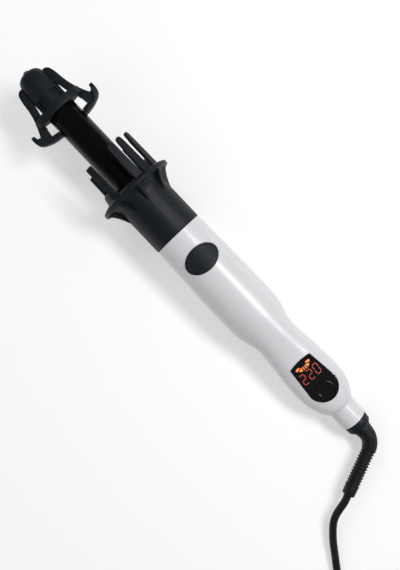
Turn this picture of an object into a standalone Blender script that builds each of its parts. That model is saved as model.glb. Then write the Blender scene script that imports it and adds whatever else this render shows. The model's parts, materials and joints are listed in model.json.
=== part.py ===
"""Automatic hair curler: a white handle with a direction rocker, a display and a power button,
a black sleeve with a ribbed guard flange, a hot barrel, and a hooked dial at the tip that a motor
in the handle turns to wind the hair. It lies on its back, on a flat along the handle and a flat
under the flange.

All lengths are in millimetres. The helpers turn them into metres. The curler's own frame has its
axis along X, from the end of the neck (0) to the tip, and the front with the buttons at +Z.
"""
import math

import bmesh
import bpy
from mathutils import Matrix, Vector

MM = 0.001
GAP = 0.3

# Driving dimensions of the handle
WALL = 2.2
SEAM_Z = 7.0
NECK_LENGTH = 15.3
NECK_R = 11.1
SHELL_END = 199.0
# Along the handle: place, half width, height of the front, depth of the back, squareness
STATIONS = [
    (0.0, NECK_R, NECK_R, NECK_R, 2.0),
    (7.5, NECK_R, NECK_R, NECK_R, 2.0),
    (NECK_LENGTH, NECK_R, NECK_R, NECK_R, 2.0),
    (18.0, 13.7, 12.4, 13.4, 2.1),
    (22.0, 16.4, 13.2, 15.0, 2.2),
    (30.0, 19.2, 13.8, 16.1, 2.4),
    (38.0, 20.3, 14.1, 16.7, 2.45),
    (50.0, 20.4, 14.6, 17.6, 2.5),
    (62.0, 19.4, 15.4, 18.5, 2.5),
    (76.0, 18.1, 16.8, 19.6, 2.55),
    (86.0, 17.3, 18.2, 20.3, 2.55),
    (92.0, 17.3, 19.1, 20.8, 2.5),
    (96.0, 18.6, 19.7, 21.1, 2.3),
    (100.0, 20.8, 20.3, 21.4, 2.1),
    (104.0, 22.1, 20.9, 21.7, 2.0),
    (110.0, 22.6, 22.0, 22.3, 2.0),
    (122.0, 22.7, 22.6, 22.8, 2.0),
    (150.0, 22.4, 22.4, 22.4, 2.0),
    (175.0, 21.9, 21.9, 21.9, 2.0),
    (SHELL_END, 21.2, 21.2, 21.2, 2.0),
]

# The flat that it rests on: its depth under the axis at two places along the handle
REST_TAIL = (34.0, 15.9)
FLANGE_BACK = 245.3
FLANGE_R = 32.3
REST_FLANGE = (FLANGE_BACK, FLANGE_R - 0.3)
REST_SLOPE = (REST_FLANGE[1] - REST_TAIL[1]) / (REST_FLANGE[0] - REST_TAIL[0])
REST_TILT = math.atan(REST_SLOPE)
REST_DEPTH = REST_TAIL[1] - REST_SLOPE * REST_TAIL[0]

# Display and power button
WINDOW_TOP = 66.2
WINDOW_TOP_R = 35.4
WINDOW_BOTTOM = 26.4
WINDOW_TOP_HALF = 10.2
WINDOW_HALF = 13.1
WINDOW_CORNER = 0.9
BUTTON_X = 35.3
BUTTON_R = 7.3

# Direction rocker
ROCKER_X = 172.9
ROCKER_HALF_X = 10.25
ROCKER_HALF_Y = 14.65
ROCKER_PIN_Z = 13.0
ROCKER_PIN_R = 1.0

# Sleeve, guard and barrel
SLEEVE_R = 21.3
SLEEVE_BORE = 18.9
GUSSET_COUNT = 8
GUSSET_TURN = math.radians(8)
GUARD_FACE = 251.4
SQUARE_FINGER_END = 280.6
ROUND_FINGER_END = 282.9
FINGER_INNER_R = 25.4
FINGER_OUTER_R = 27.9
# Angles of the fingers from the front, in degrees: three on the right with round ends, and one on
# the left and a row round the back with square ends. The sides stay open
ROUND_FINGERS = (-19, -37.5, -61.5)
SQUARE_FINGERS = (34, 134, 155, 176, 197, 218, 245)
BARREL_R = 12.5
BARREL_START = 203.0
BARREL_END = 336.0

# Dial at the tip
DIAL_BACK = 315.9
BAND_START = 330.4
BAND_END = 337.0
BAND_HALF_Y = 22.6
BAND_HALF_Z = 14.3
ARCH_BASE = 5.0
WEB_HALF = 2.2
RIM_HALF = 3.4
CAP_R = 12.2
FACET_DEPTH = 11.35
FACET_TURNS = (35, 145, 215, 325)
TIP = 372.9
SHAFT_R = 2.0

# Swivel, strain relief and cord
COLLAR_END = -8.7
ELBOW_RADIUS = 13.6
ELBOW_TURN = math.radians(68)
RELIEF_RIBS = 12
RELIEF_PITCH = 2.5
CORD_R = 3.0
FLOOR_GAP = 0.2
COIL_PITCH = 6.45
COIL_INNER_R = 24.4
COIL_TURNS_IN = 3.5
COIL_TURNS_OUT = 3.87
LOOP_POINTS = 24
PLUG_HALF_HEIGHT = 6.9


def clear_scene():
    for old in list(bpy.data.objects):
        bpy.data.objects.remove(old, do_unlink=True)


def material(name, colour, roughness, metallic=0.0):
    made = bpy.data.materials.new(name)
    made.use_nodes = True
    shader = made.node_tree.nodes["Principled BSDF"]
    shader.inputs["Base Color"].default_value = (*colour, 1.0)
    shader.inputs["Roughness"].default_value = roughness
    shader.inputs["Metallic"].default_value = metallic
    return made


def empty(name, parent=None, at=(0, 0, 0)):
    made = bpy.data.objects.new(name, None)
    bpy.context.collection.objects.link(made)
    made.parent = parent
    made.location = Vector(at) * MM
    return made


def finished(name, bm, look, parent, at=(0, 0, 0), sharp=35):
    """The bmesh as an object, facing out and shaded smooth, with its crisp edges kept."""
    bmesh.ops.remove_doubles(bm, verts=bm.verts, dist=1e-6)
    bmesh.ops.recalc_face_normals(bm, faces=bm.faces)
    mesh = bpy.data.meshes.new(name)
    bm.to_mesh(mesh)
    bm.free()
    mesh.shade_smooth()
    mesh.set_sharp_from_angle(angle=math.radians(sharp))
    if look:
        mesh.materials.append(look)
    made = bpy.data.objects.new(name, mesh)
    bpy.context.collection.objects.link(made)
    made.parent = parent
    made.location = Vector(at) * MM
    return made


def helper(name, bm, parent, at=(0, 0, 0)):
    """A cutter or a shape to join on, which is no piece of the curler."""
    made = finished(name, bm, None, parent, at)
    made.hide_render = True
    made.display_type = "WIRE"
    return made


def combine(piece, other, operation):
    step = piece.modifiers.new(other.name, "BOOLEAN")
    step.operation = operation
    step.solver = "EXACT"
    step.object = other


def turned(profile, steps):
    """A profile of (along, radius) turned round X. Points on the axis close it."""
    bm = bmesh.new()
    verts = [bm.verts.new(Vector((x, 0, r)) * MM) for x, r in profile]
    edges = []
    for a, b in zip(verts, verts[1:] + verts[:1]):
        if a.co.z > 0 or b.co.z > 0:
            edges.append(bm.edges.new((a, b)))
    bmesh.ops.spin(bm, geom=verts + edges, cent=(0, 0, 0), axis=(1, 0, 0),
                   angle=math.tau, steps=steps, use_merge=True)
    return bm


def prism(outline, low, high, bm=None):
    """An outline of (x, y) made solid from low to high along Z."""
    bm = bm or bmesh.new()
    bottom = [bm.verts.new(Vector((x, y, low)) * MM) for x, y in outline]
    top = [bm.verts.new(Vector((x, y, high)) * MM) for x, y in outline]
    bm.faces.new(bottom)
    bm.faces.new(top)
    for i in range(len(outline)):
        j = (i + 1) % len(outline)
        bm.faces.new((bottom[i], bottom[j], top[j], top[i]))
    return bm


def block(centre, size, bevel=0.0):
    bm = bmesh.new()
    bmesh.ops.create_cube(bm, size=MM)
    bmesh.ops.scale(bm, vec=size, verts=bm.verts)
    bmesh.ops.translate(bm, vec=Vector(centre) * MM, verts=bm.verts)
    if bevel:
        bmesh.ops.bevel(bm, geom=bm.edges[:], offset=bevel * MM, segments=1,
                        affect="EDGES", profile=0.5)
    return bm


def rod(start, end, radius, sides=16, bm=None):
    """A round bar from one point to another."""
    bm = bm or bmesh.new()
    start, end = Vector(start), Vector(end)
    aim = (end - start).to_track_quat("Z", "Y").to_matrix().to_4x4()
    bmesh.ops.create_cone(
        bm, cap_ends=True, segments=sides,
        radius1=radius * MM, radius2=radius * MM, depth=(end - start).length * MM,
        matrix=Matrix.Translation((start + end) / 2 * MM) @ aim)
    return bm


def add_to(whole, made):
    """Moves the bmesh made into the bmesh whole."""
    mesh = bpy.data.meshes.new("part_of_a_shape")
    made.to_mesh(mesh)
    made.free()
    whole.from_mesh(mesh)
    bpy.data.meshes.remove(mesh)


def along_x(bm):
    """The same shape with its height turned to run along X, its x to Y and its y to Z."""
    swing = Matrix(((0, 0, 1), (1, 0, 0), (0, 1, 0)))
    bmesh.ops.rotate(bm, verts=bm.verts, cent=(0, 0, 0), matrix=swing)
    return bm


def ellipse(centre, half_x, half_y, count):
    step = math.tau / count
    return [(centre[0] + half_x * math.cos(i * step), centre[1] + half_y * math.sin(i * step))
            for i in range(count)]


def arc(centre, radius, start, end, count):
    """Points on an arc, from one angle to another in degrees, both ends included."""
    out = []
    for i in range(count):
        angle = math.radians(start + (end - start) * i / (count - 1))
        out.append((centre[0] + radius * math.cos(angle), centre[1] + radius * math.sin(angle)))
    return out


# The handle's shells


def rounded(value, power):
    return math.copysign(abs(value) ** power, value)


def section(station, front, inset, steps):
    """One shell's arc across the handle, from seam to seam, set in from the outer surface."""
    along, half, height, depth, squareness = station
    rise = (height if front else depth) - inset
    seam = SEAM_Z + GAP / 2 if front else SEAM_Z - GAP / 2
    tall = rise if front else height - inset
    start = math.asin((seam / tall) ** (squareness / 2))
    if front:
        angles = [start + (math.pi - 2 * start) * i / steps for i in range(steps + 1)]
    else:
        angles = [start - (math.pi + 2 * start) * i / steps for i in range(steps + 1)]
    points = []
    for angle in angles:
        up = tall if math.sin(angle) > 0 else rise
        y = (half - inset) * rounded(math.cos(angle), 2 / squareness)
        z = up * rounded(math.sin(angle), 2 / squareness)
        points.append(Vector((along, y, z)))
    return points


def shell(front, outer_inset, inner_inset, steps, stations=STATIONS):
    """A closed skin between two offsets of the handle's surface, on one side of the seam."""
    bm = bmesh.new()
    rings = []
    for station in stations:
        outer = section(station, front, outer_inset, steps)
        inner = section(station, front, inner_inset, steps)
        rings.append([bm.verts.new(p * MM) for p in outer + inner[::-1]])
    for a, b in zip(rings, rings[1:]):
        for i in range(len(a)):
            j = (i + 1) % len(a)
            bm.faces.new((a[i], a[j], b[j], b[i]))
    for ring in (rings[0], rings[-1]):
        for i in range(steps):
            bm.faces.new((ring[i], ring[i + 1], ring[-2 - i], ring[-1 - i]))
    return bm


def window_outline(inset):
    """The display window: a curved top, sides that spread and a round bottom."""
    half = WINDOW_HALF - inset
    bottom = arc((WINDOW_BOTTOM + WINDOW_HALF, 0), half, 100, 260, 13)
    narrow = WINDOW_TOP_HALF - inset
    top_r = WINDOW_TOP_R - inset
    swing = math.degrees(math.asin((narrow - WINDOW_CORNER) / top_r))
    top = arc((WINDOW_TOP - WINDOW_TOP_R, 0), top_r, -swing, swing, 7)
    shoulder = top[0][0] - WINDOW_CORNER
    return bottom + [(shoulder, -narrow)] + top + [(shoulder, narrow)]


# Screw posts: place along, place across, and the height where the front one meets its wall
POSTS = [(69.4, 0.0, 14.6), (107.0, 0.0, 20.4), (186.5, 15.4, 11.0), (186.5, -15.4, 11.0)]
POST_R = 2.6
POST_MEET_Z = -6.0


def make_front_shell(tool, looks):
    piece = finished("front_shell", shell(True, 0, WALL, 14), looks["white"], tool)
    posts = bmesh.new()
    for x, y, top in POSTS:
        rod((x, y, POST_MEET_Z + GAP), (x, y, top), POST_R, 12, bm=posts)
    combine(piece, helper("front_posts", posts, tool), "UNION")
    window = helper("window_cutter", prism(window_outline(0), 8.5, 20), tool)
    combine(piece, window, "DIFFERENCE")
    opening = ellipse((ROCKER_X, 0), ROCKER_HALF_X, ROCKER_HALF_Y, 32)
    combine(piece, helper("rocker_cutter", prism(opening, 11, 26), tool), "DIFFERENCE")
    return piece


def make_rear_shell(tool, looks, floor):
    piece = finished("rear_shell", shell(False, 0, WALL, 16), looks["white"], tool)
    posts, heads, holes = bmesh.new(), bmesh.new(), bmesh.new()
    for x, y, _ in POSTS:
        depth = REST_DEPTH + REST_SLOPE * x
        bottom = -depth + 1.5 if y == 0 else -14.2
        rod((x, y, bottom), (x, y, POST_MEET_Z), POST_R + 1.2, 12, bm=posts)
        rod((x, y, -26), (x, y, POST_MEET_Z - 3), 2.3, 12, bm=heads)
        rod((x, y, POST_MEET_Z - 4), (x, y, POST_MEET_Z + 1), 1.3, 12, bm=holes)
    combine(piece, helper("rear_posts", posts, tool), "UNION")
    combine(piece, floor, "DIFFERENCE")
    combine(piece, helper("screw_heads_cutter", heads, tool), "DIFFERENCE")
    combine(piece, helper("screw_holes_cutter", holes, tool), "DIFFERENCE")
    return piece


def make_shell_screws(tool, looks):
    """Each screw goes up a rear post, under the bottom of its front post."""
    under_head = -3 - GAP
    profile = [(under_head - 2, 0), (under_head - 2, 2.0), (under_head, 2.0), (under_head, 1.0),
               (0, 1.0), (0, 0)]
    for number, (x, y, _) in enumerate(POSTS, 1):
        at = (x, y, POST_MEET_Z)
        finished(f"shell_screw_{number}", turned_up(profile, 12), looks["steel"], tool, at)


def turned_up(profile, steps):
    """A profile of (height, radius) turned round Z."""
    bm = turned(profile, steps)
    bmesh.ops.rotate(bm, verts=bm.verts, cent=(0, 0, 0), matrix=Matrix.Rotation(-math.pi / 2, 3, "Y"))
    return bm


# Display end


def make_display(tool, looks):
    skin = helper("lens_skin", shell(True, GAP, GAP + 1.9, 14), tool)
    lens = finished("display_lens", prism(window_outline(GAP), 8.7, 18), looks["lens"], tool)
    combine(lens, skin, "INTERSECT")
    bore = rod((BUTTON_X, 0, 6), (BUTTON_X, 0, 18), BUTTON_R + GAP, 24)
    combine(lens, helper("button_bore", bore, tool), "DIFFERENCE")
    finished("display_board", block((46.5, 0, 6.0), (36, 22, 1.6)), looks["board"], tool)
    finished("led_digits", block((52.4, 0, 8.7), (13, 17, 3.2), 0.4), looks["grey"], tool)
    finished("level_lights", block((61.2, 0, 8.4), (2.4, 13, 2.6), 0.3), looks["grey"], tool)
    switch = block((BUTTON_X, 0, 7.55), (6, 6, 0.9), 0.2)
    finished("power_switch", switch, looks["grey"], tool)


def make_power_button(tool, looks):
    """A dished cap with a stem and a lip that keeps it under the lens. It slides along Z."""
    axis = empty("power_button_axis", tool, (BUTTON_X, 0, 0))
    dish = [(13.0, 0), (13.1, 2.4), (13.4, 4.8), (13.9, 6.6), (13.7, 7.1), (13.2, BUTTON_R)]
    lip = [(10.8, BUTTON_R), (10.8, 8.4), (9.9, 8.4), (9.9, 7.0), (9.0, 7.0)]
    stem = [(9.0, 6.2), (12.2, 6.0), (12.0, 1.6), (9.0, 1.6), (9.0, 0)]
    finished("power_button", turned_up(dish + lip + stem, 24), looks["gloss_black"], axis)


# Direction rocker


def make_rocker(tool, looks):
    """The oval rocker follows the handle's surface and tilts on a pin along the handle."""
    pivot = empty("rocker_pivot", tool, (ROCKER_X, 0, ROCKER_PIN_Z))
    outline = ellipse((0, 0), ROCKER_HALF_X - 0.45, ROCKER_HALF_Y - 0.65, 32)
    plate = prism(outline, -1.0, 12.0)
    rocker = finished("direction_rocker", plate, looks["rocker"], pivot)
    skin = helper("rocker_skin", shell(True, -0.4, 2.3, 24), tool)
    combine(rocker, skin, "INTERSECT")
    hub = rod((-6.2, 0, 0), (6.2, 0, 0), 2.7, 16)
    combine(rocker, helper("rocker_hub", hub, pivot), "UNION")
    web = block((0, 0, 4.4), (9, 3.4, 6.0))
    combine(rocker, helper("rocker_web", web, pivot), "UNION")
    for side, name in ((1, "left"), (-1, "right")):
        leg = block((0, 9.0 * side, 2.0), (3.4, 2.6, 5.0))
        combine(rocker, helper(f"rocker_{name}_leg", leg, pivot), "UNION")
    bore = rod((-8, 0, 0), (8, 0, 0), ROCKER_PIN_R + 0.3, 16)
    combine(rocker, helper("rocker_pin_bore", bore, pivot), "DIFFERENCE")


def make_rocker_base(tool, looks):
    finished("rocker_board", block((ROCKER_X + 1.4, 0, 7.2), (20.8, 23, 1.6)), looks["board"], tool)
    frame = finished("rocker_frame", block((ROCKER_X, 0, 8.8), (19.6, 7.0, 1.0)), looks["black"], tool)
    for end, name in ((1, "head"), (-1, "tail")):
        ear = block((ROCKER_X + 8.6 * end, 0, 11.9), (2.4, 7.0, 6.4))
        combine(frame, helper(f"frame_{name}_ear", ear, tool), "UNION")
    hole = rod((ROCKER_X - 12, 0, ROCKER_PIN_Z), (ROCKER_X + 12, 0, ROCKER_PIN_Z), 1.3, 16)
    combine(frame, helper("frame_pin_hole", hole, tool), "DIFFERENCE")
    ends = [(ROCKER_X + 9.6 * end, 0, ROCKER_PIN_Z) for end in (-1, 1)]
    finished("rocker_pin", rod(*ends, ROCKER_PIN_R, 16), looks["steel"], tool)
    for side, name in ((1, "left"), (-1, "right")):
        body = turned_up([(0, 0), (0, 3.0), (2.6, 3.0), (2.6, 1.6), (3.5, 1.6), (3.5, 0)], 12)
        at = (ROCKER_X, 9.0 * side, 8.3)
        finished(f"{name}_switch", body, looks["grey"], tool, at)


# Drive


def make_drive(tool, looks):
    can = [(109.9, 0), (109.9, 3), (112.5, 3), (112.5, 11.2), (113.3, 12), (142.5, 12), (142.5, 0)]
    finished("motor", turned(can, 28), looks["steel"], tool)
    box = [(142.8, 0), (142.8, 12.4), (159.6, 12.4), (159.6, 4), (163, 4), (163, 0)]
    finished("gearbox", turned(box, 28), looks["brass"], tool)
    plate = turned([(159.9, 4.4), (159.9, 19.0), (162.3, 19.0), (162.3, 4.4)], 24)
    bracket = finished("motor_bracket", plate, looks["steel"], tool)
    holes = bmesh.new()
    for side in (-1, 1):
        rod((158, 8.0 * side, 0), (164, 8.0 * side, 0), 1.5, 12, bm=holes)
        rod((158, 9.0 * side, -12.5), (164, 9.0 * side, -12.5), 1.7, 12, bm=holes)
    combine(bracket, helper("bracket_holes", holes, tool), "DIFFERENCE")
    for side, name in ((1, "left"), (-1, "right")):
        screw = turned([(159.9, 0), (159.9, 1.1), (162.6, 1.1), (162.6, 2.2), (164.2, 2.2), (164.2, 0)], 12)
        finished(f"bracket_screw_{name}", screw, looks["steel"], tool, (0, 8.0 * side, 0))


def make_turning_drive(dial_axis, looks):
    """What the gearbox turns: its output shaft, a coupler and the long shaft to the dial."""
    finished("output_shaft", turned([(163.3, 0), (163.3, 1.5), (172.8, 1.5), (172.8, 0)], 16),
             looks["steel"], dial_axis)
    coupler = [(166, 1.8), (166, 5), (181, 5), (181, 2.3), (173.1, 2.3), (173.1, 1.8)]
    finished("shaft_coupler", turned(coupler, 20), looks["brass"], dial_axis)
    shaft = [(173.4, 0), (173.4, SHAFT_R), (352, SHAFT_R), (352, 0)]
    finished("drive_shaft", turned(shaft, 16), looks["steel"], dial_axis)


# Electronics in the handle


def make_main_board(tool, looks):
    finished("main_board", block((87.5, 0, 1.8), (30, 25, 1.6)), looks["board"], tool)
    finished("power_capacitor", rod((77, -5, 7.4), (90, -5, 7.4), 4.4, 16), looks["gloss_black"], tool)
    finished("heat_triac", block((85, 6.6, 5.4), (10, 6, 5.0), 0.4), looks["grey"], tool)
    finished("lead_terminal", block((97.0, -4, 5.6), (7, 12, 5.4), 0.4), looks["grey"], tool)


def make_heater_leads(tool, looks):
    """Two leads from the board, under the motor, through the bulkhead and into the barrel."""
    for side, name in ((1, "live"), (-1, "neutral")):
        route = [(103.2, 9.0, 1.8), (106, 9.0, -1.0), (109, 9.0, -9.0), (114, 9.0, -12.5),
                 (180, 9.0, -12.5), (190, 8.2, -10.6), (197, 6.6, -6.9), (201, 6.4, -6.4),
                 (249.6, 6.4, -6.4)]
        points = [(x, y * side, z) for x, y, z in route]
        tube(f"heater_lead_{name}", points, 0.9, looks["lead"], 1, tool)


# Head


def make_sleeve(tool, looks, floor):
    profile = [
        (191.0, 18.5), (SHELL_END + GAP, 18.5), (SHELL_END + GAP, SLEEVE_R), (236.0, SLEEVE_R),
        (240.5, 22.0), (243.6, 24.0), (FLANGE_BACK, 26.5), (FLANGE_BACK, FLANGE_R),
        (248.2, FLANGE_R), (249.7, 28.9), (249.7, 28.4), (247.6, 28.0), (247.6, SLEEVE_BORE),
        (SHELL_END + 0.4, SLEEVE_BORE), (SHELL_END - 1, 16.3), (191.0, 16.3),
    ]
    piece = finished("barrel_sleeve", turned(profile, 40), looks["black"], tool)
    webs = bmesh.new()
    outline = [(229.5, 20.2), (229.5, 21.1), (235.1, 23.4), (238.9, 25.4), (241.9, 27.4),
               (246.4, 31.2), (246.4, 20.2)]
    for i in range(GUSSET_COUNT):
        web = prism(outline, -1.2, 1.2)
        turn = Matrix.Rotation(GUSSET_TURN + i * math.tau / GUSSET_COUNT, 3, "X")
        bmesh.ops.rotate(web, verts=web.verts, cent=(0, 0, 0),
                         matrix=turn @ Matrix.Rotation(math.pi / 2, 3, "X"))
        add_to(webs, web)
    combine(piece, helper("gussets", webs, tool), "UNION")
    combine(piece, floor, "DIFFERENCE")


def curved_bar(bm, rings, steps):
    """A bar along X with a ring segment for its section: (x, inner, outer, from, to) in degrees."""
    loops = []
    for x, inner, outer, start, end in rings:
        outside = arc((0, 0), outer, start, end, steps + 1)
        inside = arc((0, 0), inner, end, start, steps + 1)
        loops.append([bm.verts.new(Vector((x, y, z)) * MM) for z, y in outside + inside])
    for a, b in zip(loops, loops[1:]):
        for i in range(len(a)):
            j = (i + 1) % len(a)
            bm.faces.new((a[i], a[j], b[j], b[i]))
    for loop in (loops[0], loops[-1]):
        for i in range(steps):
            bm.faces.new((loop[i], loop[i + 1], loop[-2 - i], loop[-1 - i]))


def make_guard(tool, looks):
    """A ring set in the flange, with a low collar and fingers that stand round the barrel."""
    ring = [(240.0, 16.4), (240.0, 18.5), (247.9, 18.5), (247.9, 27.7), (249.9, 28.1),
            (GUARD_FACE, 24.8), (GUARD_FACE, 13.3), (249.0, 13.3), (249.0, 16.4)]
    guard = finished("guard_crown", turned(ring, 40), looks["black"], tool)
    root = GUARD_FACE - 2.0
    collar = bmesh.new()
    curved_bar(collar, [(root, 21.6, 24.5, 41, 312), (257.4, 21.6, 23.2, 41, 312),
                        (258.6, 21.6, 22.2, 41, 312)], 22)
    combine(guard, helper("guard_collar", collar, tool), "UNION")
    fingers = bmesh.new()
    round_end = [(root, 7.0), (ROUND_FINGER_END - 4.0, 6.0), (ROUND_FINGER_END - 1.2, 4.4),
                 (ROUND_FINGER_END, 1.8)]
    square_end = [(root, 7.0), (SQUARE_FINGER_END - 1.0, 5.8), (SQUARE_FINGER_END, 5.0)]
    for angles, rings in ((ROUND_FINGERS, round_end), (SQUARE_FINGERS, square_end)):
        for angle in angles:
            bars = [(x, FINGER_INNER_R, FINGER_OUTER_R, angle - half, angle + half)
                    for x, half in rings]
            curved_bar(fingers, bars, 2)
    combine(guard, helper("guard_fingers", fingers, tool), "UNION")


def make_barrel(tool, looks):
    tube_profile = [(BARREL_START, 11.3), (BARREL_START, BARREL_R), (BARREL_END, BARREL_R),
                    (BARREL_END, 11.3)]
    finished("barrel", turned(tube_profile, 40), looks["barrel"], tool)
    for name, start, end in (("barrel_clamp", 207, 215), ("barrel_spacer", 228, 234)):
        ring = [(start, 12.8), (start, 18.6), (end, 18.6), (end, 12.8)]
        finished(name, turned(ring, 32), looks["cream"], tool)
    disc = [(199.9, 2.4), (199.9, 18.5), (202.4, 18.5), (202.4, 2.4)]
    bulkhead = finished("shaft_bulkhead", turned(disc, 28), looks["cream"], tool)
    holes = bmesh.new()
    for side in (-1, 1):
        rod((198, 6.4 * side, -6.4), (204, 6.4 * side, -6.4), 1.5, 12, bm=holes)
    combine(bulkhead, helper("lead_holes", holes, tool), "DIFFERENCE")
    bush = [(329.0, 2.4), (329.0, 11.0), (335.4, 11.0), (335.4, 2.4)]
    finished("tip_bush", turned(bush, 28), looks["cream"], tool)


def half_ring(inner, outer, flat):
    """The upper half of a thick ring, cut level at the height flat, as an outline of (y, z)."""
    out_angle = math.degrees(math.asin(flat / outer))
    in_angle = math.degrees(math.asin(flat / inner))
    return (arc((0, 0), outer, out_angle, 180 - out_angle, 13)
            + arc((0, 0), inner, 180 - in_angle, in_angle, 9))


def make_heater(tool, looks):
    """Two half-round blocks press two heating strips between them, round the shaft's guide."""
    for side, name in ((1, "front"), (-1, "back")):
        bm = along_x(prism(half_ring(4.4, 11.0, 1.5), 250.0, 327.0))
        if side < 0:
            bmesh.ops.rotate(bm, verts=bm.verts, cent=(0, 0, 0), matrix=Matrix.Rotation(math.pi, 3, "X"))
        finished(f"heater_block_{name}", bm, looks["aluminium"], tool)
    for side, name in ((1, "left"), (-1, "right")):
        strip = block((288.5, 7.6 * side, 0), (72, 5.6, 2.4))
        finished(f"heating_strip_{name}", strip, looks["cream"], tool)
    guide = [(212, 2.6), (212, 3.9), (327, 3.9), (327, 2.6)]
    finished("shaft_guide", turned(guide, 20), looks["steel"], tool)
    finished("thermal_fuse", rod((226, 0, 7.4), (240, 0, 7.4), 1.6, 12), looks["cream"], tool)
    finished("thermistor", rod((243, 0, 7.4), (249.6, 0, 7.4), 1.2, 12), looks["gloss_black"], tool)


# Dial at the tip


def hook_outline():
    """The hook's outer edge, from beside the barrel to its tip and back into the notch."""
    return [(DIAL_BACK, 11.0), (316.3, 16.0), (317.2, 21.0), (318.8, 25.6), (320.4, 28.8),
            (323.0, 31.3), (326.5, 32.2), (331.3, 32.2), (331.2, 29.3), (328.0, 28.7),
            (326.9, 27.6), (326.9, 26.5)]


def rim_outline():
    """The thick edge of one wing: the hook with a band that follows it inside."""
    inside = [(323.6, 26.6), (321.6, 24.6), (320.2, 20.6), (319.4, 16.0), (319.0, 11.0)]
    return hook_outline() + inside


def arm_outline():
    """The arm that runs from a wing to the tip beside the cap, with a slim slot at its root."""
    outer = [(327.2, 26.0), (329.8, 24.7), (334.6, 22.6), (340.1, 20.6), (347.5, 18.9),
             (354.0, 18.1), (358.6, 17.3), (361.6, 16.4), (363.5, 14.9), (364.4, 12.6),
             (364.4, 9.0)]
    inner = [(350.0, 11.0), (349.0, 12.4), (339.0, 14.6), (338.6, 11.0), (333.6, 11.0),
             (333.6, 17.4)]
    return outer + inner


def web_outline():
    """The thin web that fills a wing between its thick edge, the barrel and the arm."""
    return [(317.6, 11.5), (318.4, 18.0), (320.6, 25.6), (322.8, 27.6), (327.4, 26.2),
            (329.2, 24.2), (334.4, 21.4), (334.4, 11.5)]


def mirrored_prism(outline, half):
    """The outline made solid on both sides of the axis, between -half and half in height."""
    bm = prism(outline, -half, half)
    return prism([(x, -y) for x, y in outline], -half, half, bm)


def cap_profile(out=0.0):
    """The cap's outer edge as (along, radius), moved outwards by out."""
    return [(BAND_END + GAP, CAP_R + out), (352.0, CAP_R + out), (360.0, 11.7 + out),
            (364.5, 11.1 + out), (367.3, 10.3 + out), (369.2, 8.5 + out), (370.5, 5.8 + out)]


def make_dial(dial_axis, looks):
    """A band round the barrel's end, with a hub for the shaft, and two hooked wings."""
    corner = 2.2
    band = []
    for i in range(32):
        angle = math.tau * i / 32
        band.append((BAND_HALF_Y * rounded(math.cos(angle), 2 / corner),
                     BAND_HALF_Z * rounded(math.sin(angle), 2 / corner)))
    dial = finished("curl_dial", along_x(prism(band, BAND_START, BAND_END)), looks["black"], dial_axis)
    hub = rod((BAND_END - 0.5, 0, 0), (347.0, 0, 0), 5.8, 24)
    combine(dial, helper("dial_hub", hub, dial_axis), "UNION")

    window = [(320.8, 12.0), (333.6, 12.0), (333.6, 17.4), (321.8, 19.0)]
    windows = helper("dial_windows", mirrored_prism(window, 20.0), dial_axis)
    under_arch = prism([(x, -y) for x, y in window], -20.0, ARCH_BASE, prism(window, -20.0, ARCH_BASE))
    combine(dial, helper("arch_windows", under_arch, dial_axis), "DIFFERENCE")
    inside = [(310.0, 0.0), (310.0, BARREL_R + GAP), (BARREL_END + 0.4, BARREL_R + GAP),
              (BARREL_END + 0.4, SHAFT_R + 0.4), (348.0, SHAFT_R + 0.4), (348.0, 0.0)]
    combine(dial, helper("dial_bore", turned(inside, 40), dial_axis), "DIFFERENCE")

    wings = helper("dial_wings", mirrored_prism(web_outline(), WEB_HALF), dial_axis)
    rims = helper("dial_rims", mirrored_prism(rim_outline(), RIM_HALF), dial_axis)
    arms = helper("dial_arms", mirrored_prism(arm_outline(), RIM_HALF - 0.2), dial_axis)
    combine(wings, rims, "UNION")
    combine(wings, arms, "UNION")
    combine(wings, windows, "DIFFERENCE")
    room = [(310.0, 0.0), (310.0, BARREL_R + GAP), (BAND_END, BARREL_R + GAP)]
    room += cap_profile(GAP) + [(372.0, 5.8), (372.0, 0.0)]
    combine(wings, helper("wing_room", turned(room, 40), dial_axis), "DIFFERENCE")
    combine(dial, wings, "UNION")


def make_dial_cap(dial_axis, looks):
    """A bullet with four flat facets, each with a shallow pocket at its root."""
    inside = [(371.0, 3.4), (365.6, 3.4), (365.6, 2.3), (352.4, 2.3), (347.4, 2.5), (347.4, 6.2),
              (BAND_END + GAP, 6.2)]
    cap = finished("dial_cap", turned(cap_profile() + inside, 32), looks["black"], dial_axis)
    facets, pockets = bmesh.new(), bmesh.new()
    for degrees in FACET_TURNS:
        turn = Matrix.Rotation(math.radians(degrees), 3, "X")
        for cutter, centre, size in (
                (facets, (352.0, 0, FACET_DEPTH + 2.0), (40.0, 20.0, 4.0)),
                (pockets, (342.9, 0, FACET_DEPTH + 0.8), (8.2, 7.4, 4.0))):
            made = block(centre, size)
            bmesh.ops.rotate(made, verts=made.verts, cent=(0, 0, 0), matrix=turn)
            add_to(cutter, made)
    combine(cap, helper("cap_facets", facets, dial_axis), "DIFFERENCE")
    combine(cap, helper("cap_pockets", pockets, dial_axis), "DIFFERENCE")
    screw = [(352.4, 0), (352.4, 1.6), (362.2, 1.6), (362.2, 1.9), (365.9, 1.9), (365.9, 0)]
    finished("dial_screw", turned(screw, 12), looks["steel"], dial_axis)
    plug = [(366.2, 0), (366.2, 3.0), (371.4, 3.0), (372.5, 2.2), (TIP, 1.0), (TIP, 0)]
    finished("tip_plug", turned(plug, 16), looks["black"], dial_axis)


# Swivel and strain relief


def make_swivel_seat(tool, looks):
    ring = [(1.0, 6.4), (1.0, 8.6), (9.4, 8.6), (9.4, 6.4)]
    finished("swivel_socket", turned(ring, 28), looks["cream"], tool)
    disc = [(12.5, 1.6), (12.5, 8.5), (14.0, 8.5), (14.0, 1.6)]
    finished("slip_ring_board", turned(disc, 28), looks["board"], tool)


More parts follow.
